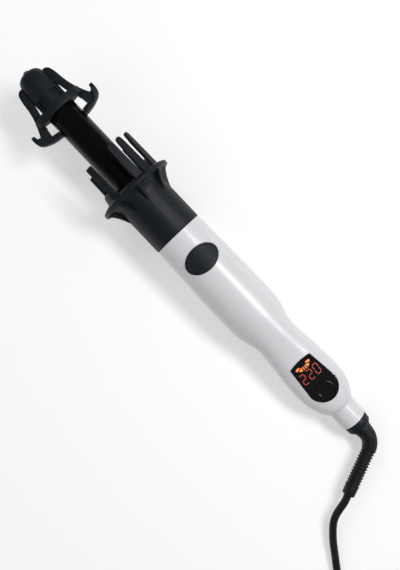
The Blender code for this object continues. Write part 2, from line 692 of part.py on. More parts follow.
def make_swivel_collar(swivel_axis, looks):
    profile = [
        (COLLAR_END, 3.0), (COLLAR_END, 7.9), (-6.2, 9.9), (-0.4, 10.4), (-0.4, 6.0), (9.8, 6.0),
        (9.8, 7.8), (12.1, 7.8), (12.1, 3.0),
    ]
    finished("swivel_collar", turned(profile, 24), looks["black"], swivel_axis)


def relief_route():
    """The strain relief's centreline with its radii: a root, a bend, then ribs and a plain end."""
    start = COLLAR_END - GAP
    bend = -13.0
    route = [((start, 0.0), 7.2), (((start + bend) / 2, 0.0), 6.9), ((bend, 0.0), 6.6)]
    bend_steps = 6
    for i in range(1, bend_steps + 1):
        turn = ELBOW_TURN * i / bend_steps
        place = (bend - ELBOW_RADIUS * math.sin(turn), ELBOW_RADIUS * (1 - math.cos(turn)))
        route.append((place, 6.6 - 1.1 * i / bend_steps))
    aim = (-math.cos(ELBOW_TURN), math.sin(ELBOW_TURN))
    corner = route[-1][0]
    for i in range(RELIEF_RIBS):
        for share, radius in ((0.15, 4.6), (0.4, 4.6), (0.6, 5.5), (0.9, 5.5)):
            run = (i + share) * RELIEF_PITCH
            route.append(((corner[0] + aim[0] * run, corner[1] + aim[1] * run), radius))
    run = RELIEF_RIBS * RELIEF_PITCH
    for extra, radius in ((0.6, 5.2), (8.0, 5.0)):
        ahead = run + extra
        route.append(((corner[0] + aim[0] * ahead, corner[1] + aim[1] * ahead), radius))
    return [((x, y, 0.0), radius) for (x, y), radius in route]


# Tubes, cord, coil and plug


def tube(name, points, radius, look, resolution, parent=None, radii=None):
    """A round tube along points, with its ends filled."""
    curve = bpy.data.curves.new(name, "CURVE")
    curve.dimensions = "3D"
    curve.bevel_depth = radius * MM
    curve.bevel_resolution = resolution
    curve.use_fill_caps = True
    spline = curve.splines.new("POLY")
    spline.points.add(len(points) - 1)
    for i, (point, place) in enumerate(zip(spline.points, points)):
        point.co = (*(Vector(place) * MM), 1)
        point.radius = radii[i] / radius if radii else 1
    curve.materials.append(look)
    made = bpy.data.objects.new(name, curve)
    bpy.context.collection.objects.link(made)
    made.parent = parent
    return made


def smooth_route(route, spacing):
    """Points an even distance apart along a smooth curve through the route's own points."""
    ends = [2 * route[0] - route[1]] + route + [2 * route[-1] - route[-2]]
    fine = []
    for p0, p1, p2, p3 in zip(ends, ends[1:], ends[2:], ends[3:]):
        for i in range(20):
            t = i / 20
            fine.append(0.5 * (2 * p1 + (p2 - p0) * t + (2 * p0 - 5 * p1 + 4 * p2 - p3) * t ** 2
                               + (3 * p1 - p0 - 3 * p2 + p3) * t ** 3))
    fine.append(route[-1])
    reached = [0.0]
    for a, b in zip(fine, fine[1:]):
        reached.append(reached[-1] + (b - a).length)
    count = round(reached[-1] / spacing)
    out = []
    for i in range(count + 1):
        target = reached[-1] * i / count
        k = max(j for j in range(len(fine)) if reached[j] <= target + 1e-9)
        k = min(k, len(fine) - 2)
        share = (target - reached[k]) / (reached[k + 1] - reached[k])
        out.append(fine[k].lerp(fine[k + 1], share))
    return out


def coil_points(centre, start_angle, low):
    """The cord's coil: in along the floor, up a layer at the inside, and out again on top.

    It turns anticlockwise seen from above, and ends in a straight run that comes down to the plug.
    """
    steps = round((COIL_TURNS_IN + COIL_TURNS_OUT) * LOOP_POINTS)
    points = []
    for i in range(steps + 1):
        turn = i / LOOP_POINTS
        radius = COIL_INNER_R + COIL_PITCH * abs(turn - COIL_TURNS_IN)
        climb = min(max(turn - COIL_TURNS_IN + 0.25, 0), 0.5)
        height = low + COIL_PITCH * (0.5 - 0.5 * math.cos(math.tau * climb))
        angle = start_angle + math.tau * turn
        points.append(Vector((centre[0] + radius * math.cos(angle),
                              centre[1] + radius * math.sin(angle), height)))
    return points


def least_gap(points, radius):
    """The least gap between turns that lie beside or over each other, in millimetres."""
    apart = LOOP_POINTS // 2
    least = min((p - q).length for i, p in enumerate(points) for q in points[i + apart:])
    return least - 2 * radius


def main():
    clear_scene()
    looks = {
        "white": material("pearl_white_plastic", (0.80, 0.79, 0.82), 0.22),
        "black": material("black_plastic", (0.018, 0.020, 0.024), 0.45),
        "gloss_black": material("gloss_black_plastic", (0.010, 0.010, 0.012), 0.12),
        "rocker": material("slate_rubber", (0.022, 0.030, 0.036), 0.55),
        "lens": material("smoked_lens", (0.006, 0.006, 0.008), 0.06),
        "barrel": material("black_ceramic_barrel", (0.020, 0.021, 0.025), 0.28, 0.6),
        "steel": material("steel", (0.60, 0.61, 0.63), 0.30, 1.0),
        "aluminium": material("aluminium", (0.75, 0.76, 0.78), 0.35, 1.0),
        "brass": material("brass", (0.76, 0.60, 0.32), 0.35, 1.0),
        "board": material("circuit_board", (0.03, 0.22, 0.10), 0.5),
        "grey": material("grey_plastic", (0.35, 0.35, 0.36), 0.5),
        "cream": material("heat_proof_plastic", (0.72, 0.68, 0.58), 0.6),
        "lead": material("silicone_lead", (0.75, 0.72, 0.66), 0.5),
        "cord": material("black_cord", (0.022, 0.022, 0.026), 0.5),
    }
    tool = empty("curler")
    tool.rotation_euler = (0, -REST_TILT, 0)
    dial_axis = empty("dial_axis", tool)
    swivel_axis = empty("swivel_axis", tool)

    middle = -(REST_DEPTH + REST_SLOPE * 150) - 25 / math.cos(REST_TILT)
    slab = block((0, 0, 0), (420, 120, 50))
    floor = helper("rest_plane_cutter", slab, tool, (150, 0, middle))
    floor.rotation_euler = (0, REST_TILT, 0)

    make_front_shell(tool, looks)
    make_rear_shell(tool, looks, floor)
    make_shell_screws(tool, looks)
    make_display(tool, looks)
    make_power_button(tool, looks)
    make_rocker(tool, looks)
    make_rocker_base(tool, looks)
    make_main_board(tool, looks)
    make_drive(tool, looks)
    make_heater_leads(tool, looks)
    make_sleeve(tool, looks, floor)
    make_guard(tool, looks)
    make_barrel(tool, looks)
    make_heater(tool, looks)
    make_turning_drive(dial_axis, looks)
    make_dial(dial_axis, looks)
    make_dial_cap(dial_axis, looks)
    make_swivel_seat(tool, looks)
    make_swivel_collar(swivel_axis, looks)
    relief = relief_route()
    tube("strain_relief", [p for p, _ in relief], 1.0, looks["black"], 3, swivel_axis,
         [r for _, r in relief])

    # It stands on its rest flats, with the middle of its length and width over the origin.
    bpy.context.view_layer.update()
    low, high = length_range([bpy.data.objects["swivel_collar"], bpy.data.objects["tip_plug"]])
    tool.location = (-(low + high) / 2, 0, REST_DEPTH * math.cos(REST_TILT) * MM)
    bpy.context.view_layer.update()
    make_cord(tool, relief, looks)


def length_range(pieces):
    """How far the pieces reach along the world's X, in metres."""
    places = [(piece.matrix_world @ corner.co).x for piece in pieces for corner in piece.data.vertices]
    return min(places), max(places)


def make_cord(tool, relief, looks):
    """The cord leaves the strain relief, comes down to the floor and is wound in a coil."""
    to_world = tool.matrix_world
    last, before = (to_world @ (Vector(relief[i][0]) * MM) / MM for i in (-1, -2))
    aim = (last - before).normalized()
    start = last + aim * GAP
    across = Vector((0.688, 0.725, 0))
    down = Vector((-0.725, 0.688, 0))
    low = CORD_R + FLOOR_GAP
    outer = COIL_INNER_R + COIL_PITCH * COIL_TURNS_IN
    enter = Vector((start.x, start.y, low)) + down * 112
    centre = enter - across * outer
    coil = coil_points(centre, math.atan2(across.y, across.x), low)
    run_in = (coil[0] - coil[1]).normalized()
    run_in.z = 0
    coil[0] = coil[1] + run_in * CORD_R * 2
    end = coil[0] + run_in * GAP
    straight = CORD_R * 2
    route = [start + aim * straight, start + aim * 14, start + aim * 28, end + run_in * 54,
             end + run_in * 26, end + run_in * straight]
    route[2].z -= 2.0
    for place in route[3:]:
        place.z = low
    points = [start] + smooth_route(route, 5 * CORD_R) + [end]
    tube("cord", points, CORD_R, looks["cord"], 3)

    leave = (coil[-1] - coil[-2]).normalized()
    leave.z = 0
    end = coil[-1].copy()
    drop = coil[-1].z - PLUG_HALF_HEIGHT
    for run, share in ((8, 0.15), (16, 0.5), (24, 0.85), (32, 1.0), (40, 1.0)):
        coil.append(end + leave * run - Vector((0, 0, drop * share)))
    print("least gap of the coil to itself, mm:", round(least_gap(coil, CORD_R), 2))
    tube("cord_coil", coil, CORD_R, looks["cord"], 1)
    make_plug(coil[-1] + leave * GAP, leave, looks)


def make_plug(place, aim, looks):
    """A flat two-pin plug, lying on the floor at the cord's end."""
    rest = empty("plug_place", None, place)
    rest.rotation_euler = (0, 0, math.atan2(aim.y, aim.x))
    sides = [(0, 4.0), (4, 4.6), (10, 6.2), (18, 12.0), (26, 17.0), (34, 17.6), (36, 16.6)]
    outline = sides + [(x, -y) for x, y in reversed(sides)]
    half = PLUG_HALF_HEIGHT - FLOOR_GAP
    body = finished("plug_body", prism(outline, -half, half), looks["cord"], rest)
    soften = body.modifiers.new("soft_edges", "BEVEL")
    soften.width = 1.6 * MM
    soften.segments = 2
    soften.limit_method = "ANGLE"
    soften.angle_limit = math.radians(50)
    for side, name in ((1, "left"), (-1, "right")):
        pin = turned([(36.3, 0), (36.3, 2.0), (54.3, 2.0), (55.3, 1.2), (55.3, 0)], 12)
        finished(f"plug_pin_{name}", pin, looks["brass"], rest, (0, 9.3 * side, 0))


main()
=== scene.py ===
"""The looks of an automatic hair curler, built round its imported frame.

Lengths in the lists are millimetres in the curler's own frame: its axis along X from the neck (0) to
the tip, its front with the buttons at +Z. settle() puts a finished piece into the row frame, in which
the curler lies on the floor.
"""
import json
import math

import bmesh
import bpy
from mathutils import Matrix, Vector


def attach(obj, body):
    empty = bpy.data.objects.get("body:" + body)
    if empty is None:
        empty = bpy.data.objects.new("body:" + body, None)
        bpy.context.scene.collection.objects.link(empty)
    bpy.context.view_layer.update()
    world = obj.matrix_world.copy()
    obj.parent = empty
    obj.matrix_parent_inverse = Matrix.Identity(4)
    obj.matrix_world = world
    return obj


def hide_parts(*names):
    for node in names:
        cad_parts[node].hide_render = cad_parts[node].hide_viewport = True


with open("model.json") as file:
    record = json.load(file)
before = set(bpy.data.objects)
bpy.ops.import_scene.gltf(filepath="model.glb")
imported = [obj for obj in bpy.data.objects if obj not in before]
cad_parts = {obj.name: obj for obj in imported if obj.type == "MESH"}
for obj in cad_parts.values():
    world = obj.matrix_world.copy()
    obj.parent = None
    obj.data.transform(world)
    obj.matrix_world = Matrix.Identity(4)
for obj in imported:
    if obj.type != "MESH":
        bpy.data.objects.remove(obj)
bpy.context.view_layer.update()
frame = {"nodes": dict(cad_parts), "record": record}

MM = 0.001
# The curler rests on its tail and on its flange: both places, as (along, depth)
REST_TAIL, REST_FLANGE = (34.0, 15.9), (245.3, 32.0)
TILT = math.atan((REST_FLANGE[1] - REST_TAIL[1]) / (REST_FLANGE[0] - REST_TAIL[0]))
# Where the end of the neck is in the row frame
NECK_X, NECK_HEIGHT = -181.312, 13.271
TOOL = Matrix.Translation((NECK_X * MM, 0, NECK_HEIGHT * MM)) @ Matrix.Rotation(-TILT, 4, "Y")


# Camera, floor and light


def look_down_on_the_curler():
    """A camera square to the curler's axis, turned so that the tip points up to the left."""
    height, over_x, scale = 520.0, 186.0, 1.28
    image_long_side, sensor = 570, 36
    right = Vector((-0.688, -0.7257, 0))
    up = Vector((0.7257, -0.688, 0))
    turn = Matrix((right, up, Vector((0, 0, 1)))).transposed().to_4x4()
    data = bpy.data.cameras.new("camera")
    data.sensor_width = sensor
    data.lens = sensor * scale * height / image_long_side
    data.shift_x, data.shift_y = 0.018, -0.068
    data.clip_start = 0.01
    camera = bpy.data.objects.new("camera", data)
    bpy.context.collection.objects.link(camera)
    camera.matrix_world = TOOL @ Matrix.Translation(Vector((over_x, 0, height)) * MM) @ turn
    bpy.context.scene.camera = camera


# Lamps: name, place, aim, size, watts, and whether shiny surfaces mirror it
LAMPS = [
    ("key", (-0.29, -0.53, 0.85), (-0.29, 0, 0.02), (0.56, 0.2), 8.0, True),
    ("left_fill", (0.30, 0.95, 0.80), (0.10, 0, 0.02), (1.3, 0.9), 4.0, False),
    ("head_fill", (1.0, -0.25, 0.85), (0.1, 0, 0.02), (0.7, 0.9), 4.6, False),
]


def softbox(name, place, aim, size, watts, mirrored):
    """A rectangular lamp turned to its aim."""
    data = bpy.data.lights.new(name, "AREA")
    data.shape = "RECTANGLE"
    data.size, data.size_y = size
    data.energy = watts
    lamp = bpy.data.objects.new(name, data)
    bpy.context.collection.objects.link(lamp)
    lamp.visible_glossy = mirrored
    lamp.location = place
    lamp.rotation_euler = (Vector(aim) - Vector(place)).to_track_quat("-Z", "Y").to_euler()


def light_all_round():
    """A faint cool light from everywhere, and the plain view transform."""
    world = bpy.data.worlds.new("studio")
    world.use_nodes = True
    background = world.node_tree.nodes["Background"]
    background.inputs["Color"].default_value = (0.95, 0.96, 1.0, 1)
    background.inputs["Strength"].default_value = 0.20
    bpy.context.scene.world = world
    bpy.context.scene.view_settings.view_transform = "Standard"


def lay_floor(look):
    bpy.ops.object.select_all(action="DESELECT")
    bpy.ops.mesh.primitive_circle_add(vertices=96, radius=4, fill_type="NGON")
    floor = bpy.context.object
    floor.name = "floor"
    floor.data.materials.append(look)


# Materials


class Value:
    """An output of a node in a material. Arithmetic on it adds Math nodes."""

    def __init__(self, finish, socket):
        self.finish = finish
        self.socket = socket

    def maths(self, operation, first, second):
        return self.finish.add("ShaderNodeMath", {"operation": operation}, {0: first, 1: second})

    def __add__(self, other):
        return self.maths("ADD", self, other)

    def __sub__(self, other):
        return self.maths("SUBTRACT", self, other)

    def __mul__(self, other):
        return self.maths("MULTIPLY", self, other)


class Finish:
    """A material with its Principled shader, and one way to add any other node to it."""

    def __init__(self, name, colour, roughness, **constants):
        self.material = bpy.data.materials.new(name)
        self.material.use_nodes = True
        self.tree = self.material.node_tree
        self.shader = self.tree.nodes["Principled BSDF"]
        self.colour = colour
        self.shader.inputs["Base Color"].default_value = (*colour, 1)
        self.shader.inputs["Roughness"].default_value = roughness
        for socket, value in constants.items():
            self.shader.inputs[socket.replace("_", " ")].default_value = value

    def add(self, kind, settings, inputs, output=0):
        """Adds a node and gives one of its outputs."""
        node = self.tree.nodes.new(kind)
        for name, value in settings.items():
            setattr(node, name, value)
        for key, value in inputs.items():
            if isinstance(value, Value):
                self.tree.links.new(value.socket, node.inputs[key])
            else:
                node.inputs[key].default_value = value
        return Value(self, node.outputs[output])

    def feed(self, socket, value):
        self.tree.links.new(value.socket, self.shader.inputs[socket])

    def place(self, scale=(1, 1, 1), turn=(0, 0, 0)):
        where = self.add("ShaderNodeTexCoord", {}, {}, "Object")
        return self.add("ShaderNodeMapping", {}, {"Vector": where, "Scale": scale, "Rotation": turn})

    def noise(self, scale, detail, where=None):
        inputs = {"Vector": where or self.place(), "Scale": scale, "Detail": detail}
        return self.add("ShaderNodeTexNoise", {}, inputs, "Fac")

    def mixed(self, mask, first, second):
        """A colour between two, by a mask. Sockets 6 and 7 of a Mix node are its colours."""
        settings = {"data_type": "RGBA"}
        return self.add("ShaderNodeMix", settings, {0: mask, 6: (*first, 1), 7: (*second, 1)}, 2)

    def colour_between(self, mask, first, second):
        self.feed("Base Color", self.mixed(mask, first, second))

    def bump(self, height, depth):
        inputs = {"Height": height, "Distance": depth, "Strength": 1.0}
        self.feed("Normal", self.add("ShaderNodeBump", {}, inputs, "Normal"))


def darker(colour, share):
    return tuple(c * share for c in colour)


def speckled(finish, scale, share, rough, rough_swing):
    """Fine colour variation with roughness that follows a slower cloud."""
    grain = finish.noise(scale, 3.0)
    finish.colour_between(grain, darker(finish.colour, 1 - share), darker(finish.colour, 1 + share))
    cloud = finish.noise(45.0, 4.0)
    finish.feed("Roughness", (cloud - 0.5) * rough_swing + rough)


def pearl_white():
    finish = Finish("pearl_white_plastic", (0.625, 0.618, 0.636), 0.36, Coat_Weight=0.35,
                    Coat_Roughness=0.18)
    speckled(finish, 2600.0, 0.025, 0.36, 0.06)
    finish.bump(finish.noise(160.0, 2.0), 0.00002)
    return finish.material


def moulded(name, colour, rough):
    """Moulded plastic or rubber with a fine eroded texture."""
    grain, share, depth = 5000.0, 0.15, 0.000012
    finish = Finish(name, colour, rough, Specular_IOR_Level=0.32)
    speckled(finish, grain, share, rough, 0.12)
    finish.bump(finish.noise(grain, 2.0), depth)
    return finish.material


def polished(name, colour, rough=0.07):
    """Polished plastic with faint smears."""
    finish = Finish(name, colour, rough, Specular_IOR_Level=0.4)
    speckled(finish, 300.0, 0.12, rough, 0.05)
    return finish.material


def barrel_coat():
    """A dark ceramic coat with faint turning lines round the barrel."""
    finish = Finish("barrel_ceramic_coat", (0.0009, 0.0010, 0.0012), 0.3, Specular_IOR_Level=0.16)
    lines = finish.noise(1.0, 3.0, finish.place((1800, 40, 40), (0, -TILT, 0)))
    fine = finish.noise(3000.0, 2.0)
    finish.colour_between(fine, (0.0007, 0.0008, 0.0010), (0.0012, 0.0013, 0.0016))
    finish.feed("Roughness", lines * 0.10 + 0.22)
    finish.bump(lines * 0.5 + fine, 0.00001)
    return finish.material


def metal(name, colour, rough):
    """Metal with brush lines across its length."""
    finish = Finish(name, colour, rough, Metallic=1.0)
    lines = finish.noise(1.0, 3.0, finish.place((1200, 60, 60)))
    finish.colour_between(lines, darker(colour, 0.9), darker(colour, 1.04))
    finish.feed("Roughness", lines * 0.14 + (rough - 0.07))
    return finish.material


def lit(name, colour, strength):
    """A lit mark of the display, a little uneven in its brightness."""
    finish = Finish(name, darker(colour, 0.5), 0.4, Emission_Strength=strength)
    cloud = finish.noise(700.0, 1.0)
    finish.feed("Emission Color", finish.mixed(cloud, darker(colour, 0.8), colour))
    return finish.material


def floor_white():
    """A pale floor that the camera and shiny surfaces see part of the way to pure white."""
    part_way = 0.45
    finish = Finish("floor_white", (0.97, 0.97, 0.97), 0.7, Specular_IOR_Level=0.1)
    rays = [finish.add("ShaderNodeLightPath", {}, {}, f"Is {kind} Ray")
            for kind in ("Camera", "Glossy", "Transmission")]
    white = finish.add("ShaderNodeEmission", {}, {"Color": (1, 1, 1, 1), "Strength": 1.0})
    as_lit = Value(finish, finish.shader.outputs["BSDF"])
    seen = finish.add("ShaderNodeMixShader", {},
                      {0: (rays[0] + rays[1] + rays[2]) * part_way, 1: as_lit, 2: white})
    finish.tree.links.new(seen.socket, finish.tree.nodes["Material Output"].inputs["Surface"])
    return finish.material


# Tools for shaping


def pick(piece):
    bpy.ops.object.select_all(action="DESELECT")
    piece.select_set(True)
    bpy.context.view_layer.objects.active = piece


def apply(piece, kind, **settings):
    """Adds a modifier with these settings and applies it."""
    pick(piece)
    step = piece.modifiers.new("step", kind)
    for name, value in settings.items():
        setattr(step, name, value)
    bpy.ops.object.modifier_apply(modifier=step.name)


def cut(piece, other, operation="DIFFERENCE"):
    apply(piece, "BOOLEAN", operation=operation, solver="EXACT", object=other)
    bpy.data.objects.remove(other)


def soften(piece, width, segments, angle=40):
    apply(piece, "BEVEL", width=width * MM, segments=segments, limit_method="ANGLE",
          angle_limit=math.radians(angle), miter_outer="MITER_ARC")


def shade(piece, angle):
    pick(piece)
    bpy.ops.object.shade_smooth_by_angle(angle=math.radians(angle))


def edit(piece):
    pick(piece)
    bpy.ops.object.mode_set(mode="EDIT")
    bpy.ops.mesh.select_all(action="SELECT")


def leave_edit():
    bpy.ops.object.mode_set(mode="OBJECT")


def tidy_mesh(piece):
    """Merges doubles and turns all faces outwards."""
    edit(piece)
    bpy.ops.mesh.remove_doubles(threshold=0.000001)
    bpy.ops.mesh.normals_make_consistent(inside=False)
    leave_edit()


def drawn(name, points):
    """A line drawn through points in millimetres, one extruded vertex after another."""
    bpy.ops.object.select_all(action="DESELECT")
    bpy.ops.mesh.primitive_plane_add(size=MM, location=Vector(points[0]) * MM)
    piece = bpy.context.object
    piece.name = name
    bpy.ops.object.transform_apply(location=True)
    edit(piece)
    bpy.ops.mesh.merge(type="CENTER")
    for here, there in zip(points, points[1:]):
        step = (Vector(there) - Vector(here)) * MM
        bpy.ops.mesh.extrude_region_move(TRANSFORM_OT_translate={"value": step})
    leave_edit()
    return piece


def lathe(name, profile, steps):
    """A profile of (along, radius) spun round the curler's axis. One off the axis is closed first."""
    line = [(x, 0, r) for x, r in profile]
    if profile[0][1] > 0:
        line.append(line[0])
    piece = drawn(name, line)
    edit(piece)
    bpy.ops.mesh.remove_doubles(threshold=0.000001)
    bpy.ops.mesh.spin(steps=steps, angle=math.tau, center=(0, 0, 0), axis=(1, 0, 0))
    leave_edit()
    tidy_mesh(piece)
    return piece


def plate(name, outline, low, high):
    """An outline of (x, y) filled and extruded from low to high."""
    piece = drawn(name, [(x, y, low) for x, y in outline])
    edit(piece)
    bpy.ops.mesh.edge_face_add()
    bpy.ops.mesh.extrude_region_move(TRANSFORM_OT_translate={"value": (0, 0, (high - low) * MM)})
    leave_edit()
    tidy_mesh(piece)
    return piece


def turned_by(piece, degrees, axis="X"):
    """Turns the piece's mesh about an axis of the curler's frame."""
    pick(piece)
    piece.matrix_world = Matrix.Rotation(math.radians(degrees), 4, axis)
    bpy.ops.object.transform_apply(location=True, rotation=True, scale=True)
    return piece


def settle(piece, body, look, slot, *stands_for):
    """Puts a finished piece in its place on its body, in its finish."""
    pick(piece)
    piece.matrix_world = TOOL
    bpy.ops.object.transform_apply(location=True, rotation=True, scale=True)
    dress(piece, body, look, slot, *stands_for)


def dress(piece, body, look, slot, *stands_for):
    """Gives a piece its finish and its body, and hides the CAD nodes that it replaces. The slot is not
    used.
    """
    piece.data.materials.clear()
    piece.data.materials.append(look)
    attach(piece, body)
    if stands_for:
        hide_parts(*stands_for)


# Cord


CORD_R = 3.0
COIL_CENTRE = (-334.67, 87.02)
COIL_START = math.atan2(0.725, 0.688)
COIL_INNER_R = 24.4
COIL_PITCH = 6.45
COIL_TURNS_IN = 3.5
COIL_TURNS_OUT = 3.87
COIL_POINTS_PER_TURN = 48
FLOOR_ROOM = 0.2
# The cord's way from the strain relief down to the floor and along it, in the row frame
CORD_ROUTE = [
    (-221.15, 44.02, 10.24), (-223.39, 49.58, 10.06), (-227.78, 64.44, 8.50), (-238.26, 75.71, 6.33),
    (-250.79, 85.04, 4.53), (-263.51, 94.18, 3.30), (-276.39, 103.20, 3.2), (-289.36, 112.09, 3.2),
    (-302.28, 121.05, 3.2),
]
# Its way from the last turn of the coil down to the plug
PLUG_ROUTE = [
    (-385.05, 77.79, 9.24), (-386.05, 69.85, 8.28), (-387.05, 61.91, 7.31),
    (-388.05, 53.97, 6.9), (-389.05, 46.04, 6.9),
]


def coil_points():
    """In along the floor, up a layer in the innermost half turn, and out again on top."""
    points = []
    for i in range(1, round((COIL_TURNS_IN + COIL_TURNS_OUT) * COIL_POINTS_PER_TURN) + 1):
        turn = i / COIL_POINTS_PER_TURN
        past_inside = turn - COIL_TURNS_IN
        radius = COIL_INNER_R + COIL_PITCH * abs(past_inside)
        climb = min(max(past_inside + 0.25, 0), 0.5)
        height = CORD_R + FLOOR_ROOM + COIL_PITCH * (0.5 - 0.5 * math.cos(math.tau * climb))
        angle = COIL_START + math.tau * turn
        points.append((COIL_CENTRE[0] + radius * math.cos(angle),
                       COIL_CENTRE[1] + radius * math.sin(angle), height))
    return points


def rounded_line(points, count):
    """More points along a smooth curve through the given ones."""
    line = [Vector(p) for p in points]
    ends = [2 * line[0] - line[1]] + line + [2 * line[-1] - line[-2]]
    out = []
    for p0, p1, p2, p3 in zip(ends, ends[1:], ends[2:], ends[3:]):
        for i in range(count):
            t = i / count
            out.append(0.5 * (2 * p1 + (p2 - p0) * t + (2 * p0 - 5 * p1 + 4 * p2 - p3) * t ** 2
                              + (3 * p1 - p0 - 3 * p2 + p3) * t ** 3))
    return out + [line[-1]]


def tube(name, points, radii, resolution=6):
    """A round tube as one open curve through points in millimetres."""
    data = bpy.data.curves.new(name, "CURVE")
    data.dimensions = "3D"
    data.bevel_depth = MM
    data.bevel_resolution = resolution
    data.use_fill_caps = True
    spline = data.splines.new("POLY")
    spline.points.add(len(points) - 1)
    for knot, place, radius in zip(spline.points, points, radii):
        knot.co = (*(Vector(place) * MM), 1)
        knot.radius = radius
    piece = bpy.data.objects.new(name, data)
    bpy.context.collection.objects.link(piece)
    return piece


def make_cord(look, pieces):
    """The cord in one run: down from the strain relief, round its coil and out to the plug."""
    route = rounded_line(CORD_ROUTE, 4) + coil_points() + rounded_line(PLUG_ROUTE, 3)
    cord = tube("mains_cord", route, [CORD_R] * len(route))
    dress(cord, "cord_body", look, "cord_skin", "cord", "cord_coil")


# Handle


GAP = 0.3
WALL = 2.2
SEAM_Z, SEAM_GAP = 7.0, 0.1
RING_POINTS = 48
# Along the handle: place, half width, height of the front, depth of the back, squareness
STATIONS = [
    (0.0, 11.1, 11.1, 11.1, 2.0), (7.5, 11.1, 11.1, 11.1, 2.0), (14.4, 11.1, 11.1, 11.1, 2.0),
    (15.3, 11.1, 11.1, 11.1, 2.0), (15.6, 11.45, 11.2, 11.4, 2.0), (16.6, 12.6, 11.8, 12.4, 2.05),
    (18.0, 13.7, 12.4, 13.4, 2.1), (22.0, 16.4, 13.2, 15.0, 2.2), (30.0, 19.2, 13.8, 16.1, 2.4),
    (38.0, 20.3, 14.1, 16.7, 2.45), (50.0, 20.4, 14.6, 17.6, 2.5), (62.0, 19.4, 15.4, 18.5, 2.5),
    (76.0, 18.1, 16.8, 19.6, 2.55), (84.0, 17.4, 18.0, 20.2, 2.55), (91.0, 17.4, 19.0, 20.7, 2.5),
    (96.0, 18.3, 19.7, 21.1, 2.35), (101.0, 20.0, 20.4, 21.4, 2.15), (106.0, 21.6, 21.2, 21.8, 2.05),
    (112.0, 22.5, 22.0, 22.3, 2.0), (122.0, 22.7, 22.6, 22.8, 2.0), (150.0, 22.4, 22.4, 22.4, 2.0),
    (175.0, 21.9, 21.9, 21.9, 2.0), (199.0, 21.2, 21.2, 21.2, 2.0),
]
# The display lens is flatter than the handle
LENS_STATIONS = [
    (16.0, 33.0, 13.1, 9.0, 2.0), (26.4, 33.0, 13.1, 9.0, 2.0), (32.0, 33.0, 12.9, 9.0, 2.0),
    (40.0, 33.0, 12.75, 9.0, 2.0), (47.0, 33.0, 13.4, 9.0, 2.0), (55.0, 33.0, 14.0, 9.0, 2.0),
    (66.0, 33.0, 14.95, 9.0, 2.0), (76.0, 33.0, 15.8, 9.0, 2.0),
]
WINDOW_TOP, WINDOW_TOP_R, WINDOW_BOTTOM = 66.2, 35.4, 26.4
WINDOW_TOP_HALF, WINDOW_HALF, WINDOW_CORNER = 10.2, 13.1, 0.9
ROCKER_X, ROCKER_HALF_X, ROCKER_HALF_Y = 172.9, 10.25, 14.65
BUTTON_X, BUTTON_R = 35.3, 7.3
SCREW_PLACES = [(69.4, 0.0), (107.0, 0.0), (186.5, 15.4), (186.5, -15.4)]
SCREW_HOLE_R, SCREW_HOLE_END = 2.3, -9
WINDOW_LIP_R, WINDOW_LIP_OUT, ROCKER_LIP_R, LIP_SINK = 0.38, 0.25, 0.34, 0.12
# The floor in the curler's frame. The flats that rest on it stay this clear of it.
FLOOR_CLEARANCE = 0.02
UP_IN_TOOL = Vector((math.sin(TILT), 0, math.cos(TILT)))
FLOOR_IN_TOOL = UP_IN_TOOL * (FLOOR_CLEARANCE - NECK_HEIGHT) * MM


def signed_power(value, exponent):
    return math.copysign(abs(value) ** exponent, value)


def arc(centre, radius, start, end, count):
    """Points on an arc, from one angle to another in degrees, both ends included."""
    out = []
    for i in range(count):
        angle = math.radians(start + (end - start) * i / (count - 1))
        out.append((centre[0] + radius * math.cos(angle), centre[1] + radius * math.sin(angle)))
    return out


def ellipse(centre, half_x, half_y, count=72):
    step = math.tau / count
    return [(centre[0] + half_x * math.cos(i * step), centre[1] + half_y * math.sin(i * step))
            for i in range(count)]


def shape_ring(mesh, station, inset):
    """Moves the ring just added, which is selected, onto the section of a station."""
    along, half, front, back, squareness = station
    for vert in mesh.verts:
        if vert.select:
            angle = math.atan2(vert.co.y, vert.co.x)
            tall = front if vert.co.y > 0 else back
            y = (half - inset) * signed_power(math.cos(angle), 2 / squareness)
            z = (tall - inset) * signed_power(math.sin(angle), 2 / squareness)
            vert.co = Vector((along, y, z)) * MM


def handle_tube(name, inset, closed=False, stations=STATIONS):
    """The handle's outer surface, set in by inset: rings at its stations, bridged and smoothed."""
    bpy.ops.object.select_all(action="DESELECT")
    bpy.ops.mesh.primitive_circle_add(vertices=RING_POINTS, radius=1)
    piece = bpy.context.object
    piece.name = name
    edit(piece)
    for number, station in enumerate(stations):
        if number:
            bpy.ops.mesh.primitive_circle_add(vertices=RING_POINTS, radius=1)
        mesh = bmesh.from_edit_mesh(piece.data)
        shape_ring(mesh, station, inset)
        bmesh.update_edit_mesh(piece.data)
    bpy.ops.mesh.select_all(action="SELECT")
    bpy.ops.mesh.bridge_edge_loops()
    leave_edit()
    apply(piece, "SUBSURF", levels=2, render_levels=2)
    if closed:
        edit(piece)
        bpy.ops.mesh.fill_holes(sides=0)
        leave_edit()
    tidy_mesh(piece)
    return piece


def trim(piece, place, normal, fill):
    """Cuts the piece at a plane and keeps the side that the normal points to."""
    edit(piece)
    bpy.ops.mesh.bisect(plane_co=place, plane_no=normal, use_fill=fill, clear_inner=True,
                        threshold=0.000001)
    leave_edit()


def window_outline(inset):
    """The display window: a curved top, sides that spread and a round bottom."""
    half = WINDOW_HALF - inset
    bottom = arc((WINDOW_BOTTOM + WINDOW_HALF, 0), half, 98, 262, 41)
    narrow = WINDOW_TOP_HALF - inset
    top_r = WINDOW_TOP_R - inset
    swing = math.degrees(math.asin((narrow - WINDOW_CORNER) / top_r))
    top = arc((WINDOW_TOP - WINDOW_TOP_R, 0), top_r, -swing, swing, 17)
    shoulder = top[0][0] - WINDOW_CORNER
    return bottom + [(shoulder, -narrow)] + top + [(shoulder, narrow)]


